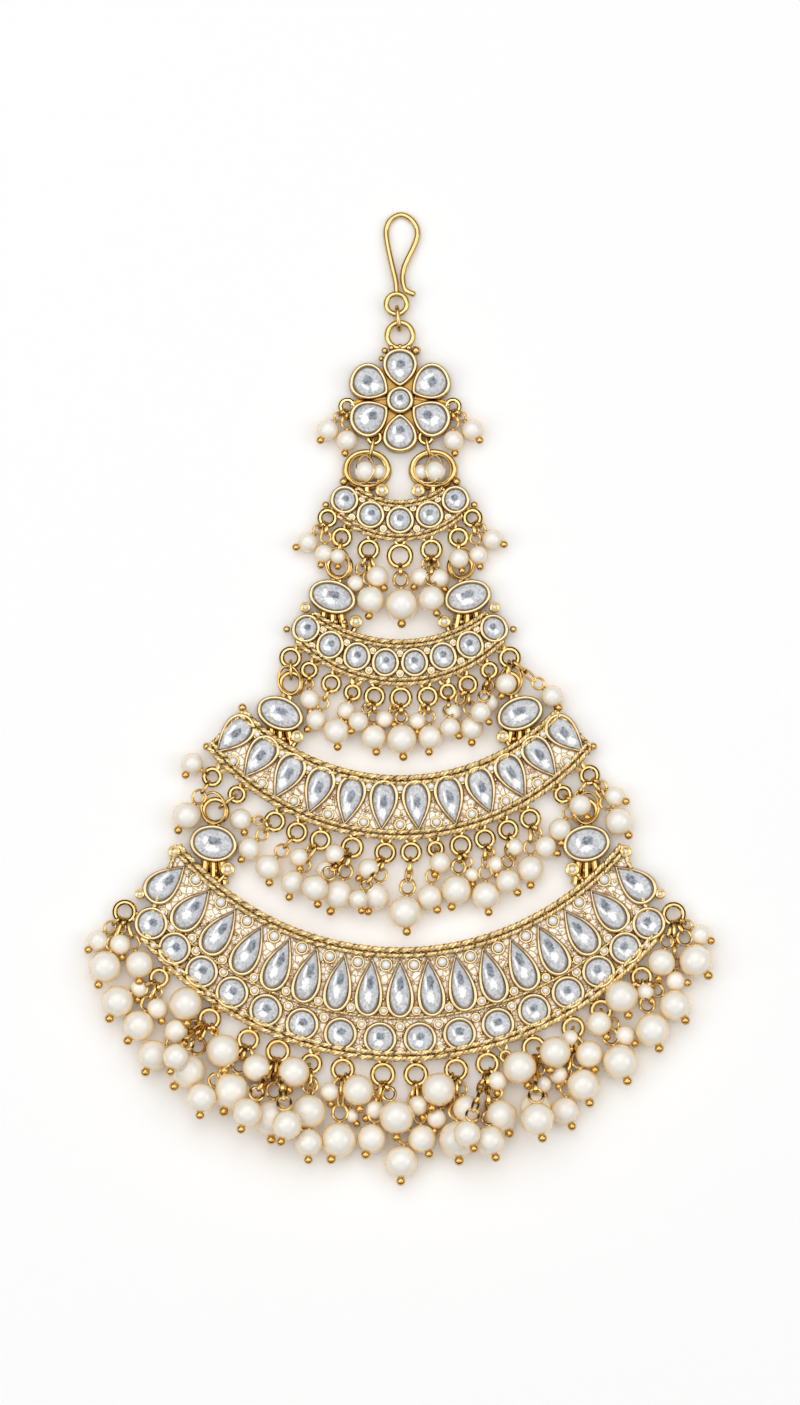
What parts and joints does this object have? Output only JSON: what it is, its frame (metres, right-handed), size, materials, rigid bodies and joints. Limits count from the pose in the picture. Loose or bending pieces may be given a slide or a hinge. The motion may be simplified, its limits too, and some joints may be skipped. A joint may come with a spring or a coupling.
{
  "type": "jhoomar",
  "caption": "Side hair jewel with a wire hook, a stone flower and crescents of clear stones hung with ivory pearls on gold plated metal, lying flat.",
  "frame": {"origin": "middle of the jewel's box, on the table that it lies on", "axes": "+Y from the pearl fringe to the hook, +X to the right as it is seen, +Z off the table"},
  "size_m": [0.1084, 0.169, 0.0062],
  "materials": {
    "gold": "polished warm gold plating",
    "pearl": "ivory pearl lustre on a gold pin",
    "flower_setting": "gold plated setting with clear foiled stones",
    "tier_1_setting": "gold plated setting with clear foiled stones",
    "tier_2_setting": "gold plated setting with clear foiled stones",
    "tier_3_setting": "gold plated setting with clear foiled stones",
    "tier_4_setting": "gold plated setting with clear foiled stones"
  },
  "bodies": {
    "root": {"hook": "gold", "hook_link": "gold", "flower": "flower_setting", "tier_1": "tier_1_setting", "tier_2": "tier_2_setting", "tier_3": "tier_3_setting", "tier_4": "tier_4_setting", "flower_link_left": "gold", "flower_drop_left": "pearl", "link_12_left": "gold", "link_23_left": "gold", "link_34_left": "gold", "flower_link_right": "gold", "flower_drop_right": "pearl", "link_12_right": "gold", "link_23_right": "gold", "link_34_right": "gold", "drop_1_01": "pearl", "drop_1_02": "pearl", "drop_1_03": "pearl", "drop_1_04": "pearl", "drop_1_05": "pearl", "drop_2_01": "pearl", "drop_2_02": "pearl", "drop_2_03": "pearl", "drop_2_04": "pearl", "drop_2_05": "pearl", "drop_2_06": "pearl", "drop_2_07": "pearl", "drop_2_08": "pearl", "drop_2_09": "pearl", "drop_3_01": "pearl", "drop_3_02": "pearl", "drop_3_03": "pearl", "drop_3_04": "pearl", "drop_3_05": "pearl", "drop_3_06": "pearl", "drop_3_07": "pearl", "drop_3_08": "pearl", "drop_3_09": "pearl", "drop_3_10": "pearl", "drop_3_11": "pearl", "drop_3_12": "pearl", "drop_4_01": "pearl", "drop_4_02": "pearl", "drop_4_03": "pearl", "drop_4_04": "pearl", "drop_4_05": "pearl", "drop_4_06": "pearl", "drop_4_07": "pearl", "drop_4_08": "pearl", "drop_4_09": "pearl", "drop_4_10": "pearl", "drop_4_11": "pearl", "drop_4_12": "pearl", "drop_4_13": "pearl", "drop_4_14": "pearl", "drop_4_15": "pearl", "drop_4_16": "pearl"}
  },
  "joints": []
}
